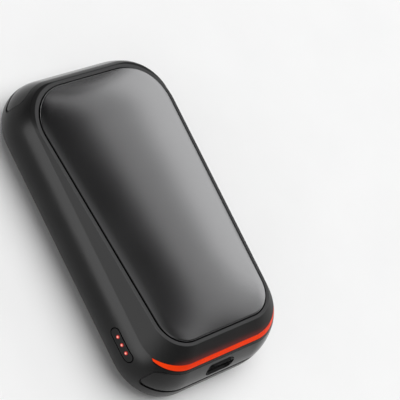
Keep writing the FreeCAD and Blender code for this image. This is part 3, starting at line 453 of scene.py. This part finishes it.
def plate_rings(inset, arc=20, run=14):
    """Rings of points round a tapered outline with four rounded corners, one ring for each inset.

    Each corner is an arc of radius r that touches both its sides. It starts r tan(turn / 2) before the
    corner and sweeps through the turn between the two sides; straight runs join the arcs.
    """
    port, plain = PORT_HALF - inset, PLAIN_HALF - inset
    near, far = PORT_END - inset, PLAIN_END - inset
    corner = np.stack([np.stack([port, -near], -1), np.stack([plain, far], -1),
                       np.stack([-plain, far], -1), np.stack([-port, -near], -1)], axis=1)
    radius = np.stack([PORT_CORNER - inset, PLAIN_CORNER - inset,
                       PLAIN_CORNER - inset, PORT_CORNER - inset], axis=1)[..., None]
    leave = np.roll(corner, -1, axis=1) - corner
    leave /= np.linalg.norm(leave, axis=-1, keepdims=True)
    arrive = np.roll(leave, 1, axis=1)
    inward = np.stack([-arrive[..., 1], arrive[..., 0]], axis=-1)
    turn = np.arccos((arrive * leave).sum(-1, keepdims=True))
    start = corner - arrive * radius * np.tan(turn / 2)
    sweep = (turn * np.linspace(0, 1, arc))[..., None]
    middle = (start + inward * radius)[:, :, None]
    wide = radius[:, :, None]
    arcs = middle - wide * inward[:, :, None] * np.cos(sweep) + wide * arrive[:, :, None] * np.sin(sweep)
    share = np.linspace(0, 1, run + 2)[1:-1, None]
    ends = arcs[:, :, -1][:, :, None]
    runs = ends + (np.roll(arcs[:, :, 0], -1, axis=1)[:, :, None] - ends) * share
    return np.concatenate([arcs, runs], axis=2).reshape(len(inset), -1, 2)


def on_rim(flat, height):
    """Points of the tilted rim plane, raised square to it, in metres in the frame of the part."""
    x, y = flat[..., 0], flat[..., 1]
    return np.stack([x, y * np.cos(PLATE_TILT) + height * np.sin(PLATE_TILT),
                     RIM_HEIGHT - y * np.sin(PLATE_TILT) + height * np.cos(PLATE_TILT)], axis=-1) * MM


print("plate outline:", round(2 * PLAIN_HALF, 2), "by", round(PORT_END + PLAIN_END, 2), "mm")

# %% Crown of the plate
PROUD, CROWN, ARCH_POWER = 0.3, 1.4, 2.1
PORT_RUN, PLAIN_RUN, END_POWER = 22.0, 11.0, 2.4
EDGE_DROP, EDGE_RUN, EDGE_POWER = 0.12, 2.5, 4


def crown_height(flat, inset):
    """An arch across, times a rise from both ends, less a parabola that eases the long edges."""
    x, y = flat[..., 0], flat[..., 1]
    half = PORT_HALF + (PLAIN_HALF - PORT_HALF) * (y + PORT_END) / (PORT_END + PLAIN_END)
    across = 1 - np.abs(x / half) ** ARCH_POWER
    from_end = np.minimum((y + PORT_END) / PORT_RUN, (PLAIN_END - y) / PLAIN_RUN)
    along = 1 - np.maximum(0, 1 - from_end) ** END_POWER
    ease = EDGE_DROP * np.maximum(0, 1 - inset[:, None] / EDGE_RUN) ** 2 * (x / half) ** EDGE_POWER
    return PROUD + CROWN * across * along - ease


# %% Skin of the plate
THICK, UNDER_EASE = 0.9, 0.2
ROLL_RADIUS, ROLL_TURN, ROLL_RINGS = 0.3, np.radians(75), 10
EDGE_RINGS, CROWN_RINGS = 14, 60
LAST_SHRINK, SPINE_SHARE = 0.97, 0.25
bend = np.linspace(0, ROLL_TURN, ROLL_RINGS)
roll_inset = ROLL_RADIUS * (1 - np.cos(bend))
ease_inset = np.linspace(roll_inset[-1], EDGE_RUN, EDGE_RINGS)[1:]
edge_inset = np.concatenate([roll_inset, ease_inset])
edge = plate_rings(edge_inset)
edge_height = crown_height(edge, edge_inset)
roll_drop = ROLL_RADIUS * (np.sin(ROLL_TURN) - np.sin(bend))
edge_height[:ROLL_RINGS] = edge_height[ROLL_RINGS - 1] - roll_drop[:, None]
shrink = np.linspace(0, LAST_SHRINK, CROWN_RINGS)[1:, None, None]
crown = edge[-1] * (1 - shrink * np.array([1, 1 - SPINE_SHARE]))
crown_top = crown_height(crown, np.full(len(crown), EDGE_RUN))
outline = edge[0]
under = np.stack([outline * 0, outline * 0.5, outline - UNDER_EASE * np.sign(outline), outline])
under_level = np.array([-THICK, -THICK, -THICK, UNDER_EASE - THICK])
under_height = np.broadcast_to(under_level[:, None], under.shape[:2])
# The last ring comes twice, because the skin shrinks the second one to a point
flat = np.concatenate([under, edge, crown, crown[-1:]])
height = np.concatenate([under_height, edge_height, crown_top, crown_top[-1:]])
warm_plate = skin("warm_plate", on_rim(flat, height), plate_grey, "case")
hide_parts("front_heat_plate")
print("plate top:", round(height.max(), 2), "mm above the rim")

# %% [markdown]
# ## Dot lenses
# Three red dots shine through the button. Each is a clear peg with a small domed end, lit red by the lamp
# behind it; its pale middle in the red ring is a painted highlight. A scaled sphere would do from afar, but
# a quarter ellipse turned round the dot's axis meets the button at a clean edge. How far each point is from
# that axis is kept on the points, so that the finish can follow it.

# %% Finish of the lenses
lens_red, lens_tree, lens_shader = blank("lit_red_lens")
from_axis = add(lens_tree, "ShaderNodeAttribute", {"attribute_name": "tone"}).outputs["Fac"]
# Painted highlight: the glow and the base colour are pale pink in the middle, over the red of the lamp.
lens_glow_and_highlight = ramp(lens_tree, from_axis, (0, (1, 0.62, 0.54)), (0.3, (0.95, 0.4, 0.33)),
                 (0.55, (0.7, 0.05, 0.04)), (1, (0.2, 0.008, 0.008)))
lens_base_and_highlight = ramp(lens_tree, from_axis, (0, (0.5, 0.2, 0.15)), (1, (0.2, 0.01, 0.01)))
wire(lens_tree, lens_glow_and_highlight, lens_shader.inputs["Emission Color"])
wire(lens_tree, lens_base_and_highlight, lens_shader.inputs["Base Color"])
lens_shader.inputs["Emission Strength"].default_value = 0.9
lens_shader.inputs["Roughness"].default_value = 0.1
print("lens finish:", lens_red.name)

# %% Domes on the button
BAND_REACH = CREASE_HALF_WIDTH + BAND_RADIUS * (1 - np.cos(CREASE_ANGLE))
DOT_PITCH, DOT_RISE = 2.15, 0.22
DOT_HEIGHT = BUTTON_HEIGHT + DOT_RISE
LENS_RADIUS, LENS_RISE, LENS_SINK = 0.44, 0.13, 0.1


def dome(middle, outward, radius, rise, sink, around=24, steps=10):
    """A domed disc: a sunk flat base, a straight edge, then a quarter ellipse turned about the axis.

    With it comes the distance of each ring from the axis, as a share of the radius.
    """
    lift = np.linspace(0, np.pi / 2, steps)
    reach = radius * np.concatenate([[0, 1], np.cos(lift)])
    height = np.concatenate([[-sink, -sink], rise * np.sin(lift)])
    turn = np.linspace(0, 2 * np.pi, around, endpoint=False)
    side = np.array([0, 1, 0])
    above = np.cross(outward, side)
    circle = np.cos(turn)[:, None] * side - np.sin(turn)[:, None] * above
    return middle + reach[:, None, None] * circle + height[:, None, None] * outward, reach / radius


lean = np.arcsin((DOT_HEIGHT - BAND_RADIUS) / BAND_RADIUS)
dot_axis = np.array([-np.cos(lean), 0, np.sin(lean)])
dot_reach = BAND_REACH - BAND_RADIUS * (1 - np.cos(lean))
dot_places = np.array([[-dot_reach, -BUTTON_ALONG + number * DOT_PITCH, DOT_HEIGHT]
                       for number in (-1, 0, 1)])
domes, tones = zip(*(dome(place, dot_axis, LENS_RADIUS, LENS_RISE, LENS_SINK) for place in dot_places))
skin("dot_lenses", np.stack(domes) * MM, lens_red, "button", tone=tones[0])

# %% [markdown]
# ## Socket contacts
# The tongue in the charging socket carries two rows of twelve gold strips. They are too thin to matter in
# CAD, but they show when the socket is looked into. They could be stripes in the tongue's finish, but
# real strips also catch the light at their edges. One strip is a flat bar with eased edges, laid out
# twelve times on each face.

# %% Strips on the tongue
CONTACTS, CONTACT_PITCH, CONTACT_LENGTH, FRONT_MARGIN = 12, 0.5, 4.2, 0.5
CONTACT_HALF, CONTACT_RISE, CONTACT_EASE = 0.13, 0.03, 0.02
TONGUE_HALF = 0.35


def strip(half, length, rise, ease):
    """A flat bar along y: an eased rectangle, drawn in a little at both ends and closed there."""
    section = np.array([[-half, -rise], [half, -rise], [half, rise - ease], [half - ease, rise],
                        [ease - half, rise], [-half, rise - ease]])
    along = np.array([0, 0, ease, length - ease, length, length])
    size = np.array([0, 1 - ease / half, 1, 1, 1 - ease / half, 0])
    grid = np.empty((len(along), len(section), 3))
    grid[..., 0] = section[:, 0] * size[:, None]
    grid[..., 1] = along[:, None]
    grid[..., 2] = section[:, 1] * size[:, None]
    return grid


gold = grained("gold_plating", (0.62, 0.4, 0.12), (0.72, 0.48, 0.16), (0.85, 0.62, 0.28),
               roughness=(0.2, 0.3), grain=0.2, clouds=2, depth=0.001, edge=0.02, Metallic=1.0)
tongue_low, tongue_high = (np.array(corner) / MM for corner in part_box("usb_socket_tongue"))
tongue_middle = (tongue_low[2] + tongue_high[2]) / 2
one = strip(CONTACT_HALF, CONTACT_LENGTH, CONTACT_RISE, CONTACT_EASE)
# Upside down for the lower face, with each ring run backwards so that the faces still point outwards
flipped = (one * [1, 1, -1])[:, ::-1]
columns = (np.arange(CONTACTS) - (CONTACTS - 1) / 2) * CONTACT_PITCH
upper = np.array([[x, tongue_low[1] + FRONT_MARGIN, tongue_middle + TONGUE_HALF] for x in columns])
lower = upper - [0, 0, 2 * TONGUE_HALF]
contacts = np.concatenate([one + upper[:, None, None], flipped + lower[:, None, None]])
skin("socket_contacts", contacts * MM, gold, "case")

# %% [markdown]
# ## Floor
# The warmer lies on plain pale paper. A floor of one flat colour would do, but paper has a little
# cloudiness, so a faint noise moves its colour. The disc is wide enough that its edge stays far out of
# the picture. Its sizes and those of the lamps are metres.

# %% Pale floor
FLOOR_RADIUS, FLOOR_SIDES, FLOOR_CLOUDS = 12, 48, 0.025
floor_white, floor_tree, paper = blank("pale_floor")
paper.inputs["Roughness"].default_value = 0.9
paper.inputs["Specular IOR Level"].default_value = 0
floor_place = add(floor_tree, "ShaderNodeTexCoord").outputs["Object"]
fibre = add(floor_tree, "ShaderNodeTexNoise", Vector=floor_place, Scale=1 / FLOOR_CLOUDS,
            Detail=3).outputs["Fac"]
paper_colour = ramp(floor_tree, fibre, (0.3, (0.89, 0.89, 0.89)), (0.7, (0.91, 0.91, 0.91)))
wire(floor_tree, paper_colour, paper.inputs["Base Color"])
angle = np.linspace(0, 2 * np.pi, FLOOR_SIDES, endpoint=False)
disc = np.stack([np.cos(angle), np.sin(angle), np.zeros_like(angle)], -1) * FLOOR_RADIUS
floor_mesh = bpy.data.meshes.new("floor")
floor_mesh.from_pydata(disc.tolist(), [], [list(range(FLOOR_SIDES))])
floor_mesh.materials.append(floor_white)
floor = bpy.data.objects.new("floor", floor_mesh)
bpy.context.collection.objects.link(floor)
print("floor:", 2 * FLOOR_RADIUS, "m across")

# %% [markdown]
# ## Lights
# The plate is a soft mirror, so what it shows are the lamps themselves. A broad softbox and a scrim stand
# on the far side, rolled a little, and draw the light half of the plate. A fill on the near side keeps
# the dark half from going black. The black mouldings need a stronger shine than the metal, so a card near
# the camera lights only them and shows only as gloss. A lamp overhead, soft as a ceiling, lights the
# plain colours and is kept out of every reflection. One bright lamp would be simpler, but it would leave
# hard spots on the plate.


# %% Place lamps
def direction(azimuth, elevation):
    """A unit vector from two angles in degrees."""
    az, el = np.radians([azimuth, elevation])
    return Vector((np.cos(el) * np.cos(az), np.cos(el) * np.sin(az), np.sin(el)))


def place_lamp(data, toward, distance, roll=0):
    """Stand a lamp out along a direction, facing the object, rolled about its own axis by some degrees."""
    lamp = bpy.data.objects.new(data.name, data)
    lamp.location = toward * distance
    aim = toward.to_track_quat("Z", "Y") @ Quaternion((0, 0, 1), np.radians(roll))
    lamp.rotation_euler = aim.to_euler()
    bpy.context.collection.objects.link(lamp)
    print(data.name, round(data.energy, 2))
    return lamp


def softbox(name, azimuth, elevation, distance, wide, high, radiance, roll=0):
    """A broad soft lamp, in metres; its power gives the asked radiance over its area."""
    data = bpy.data.lights.new(name, "AREA")
    data.shape = "RECTANGLE"
    data.size, data.size_y = wide, high
    data.energy = radiance * np.pi * wide * high
    return place_lamp(data, direction(azimuth, elevation), distance, roll)


# %% Softboxes, card and ceiling
softbox("far_side_softbox", azimuth=11, elevation=32, distance=0.9,
        wide=0.95, high=0.32, radiance=0.75, roll=-6)
softbox("far_side_scrim", azimuth=17, elevation=37, distance=0.92,
        wide=0.62, high=0.58, radiance=0.58, roll=-12)
softbox("near_side_fill", azimuth=195, elevation=30, distance=0.95,
        wide=1.6, high=0.7, radiance=0.6)
card = softbox("near_side_card", azimuth=183, elevation=25, distance=0.9,
               wide=1.15, high=0.66, radiance=4.9)
card.visible_diffuse = False
mouldings = bpy.data.collections.new("black_mouldings")
for node in ("main_housing", "rear_cover", "power_button", "plain_end_cap"):
    mouldings.objects.link(frame["nodes"][node])
card.light_linking.receiver_collection = mouldings
ceiling = bpy.data.lights.new("even_ceiling", "SUN")
ceiling.energy = 2.4
ceiling.angle = np.radians(70)
place_lamp(ceiling, direction(azimuth=40, elevation=80), distance=2).visible_glossy = False

# %% [markdown]
# ## Dim room
# Whatever the lamps leave free on the plate mirrors the room. A picture of a real room would put stray
# shapes there, so the room is only a ramp of greys by height: pale near the ground, almost black higher
# up, where the dark half of the plate looks, and pale again overhead.

# %% Sky of the room
SKY_LEVELS = ((0, 0.35), (0.35, 0.25), (0.65, 0.05), (0.72, 0.005), (0.88, 0.005), (0.96, 0.25), (1, 0.3))
room = bpy.data.worlds.new("dim_room")
bpy.context.scene.world = room
room.use_nodes = True
room_tree = room.node_tree
sky = room_tree.nodes["Background"]
toward_sky = add(room_tree, "ShaderNodeTexCoord").outputs["Generated"]
sky_height = add(room_tree, "ShaderNodeSeparateXYZ", Vector=toward_sky).outputs["Z"]
sky_greys = [(height, (level, level, level)) for height, level in SKY_LEVELS]
wire(room_tree, ramp(room_tree, sky_height, *sky_greys), sky.inputs["Color"])
sky.inputs["Strength"].default_value = 1
print("sky levels:", len(SKY_LEVELS))
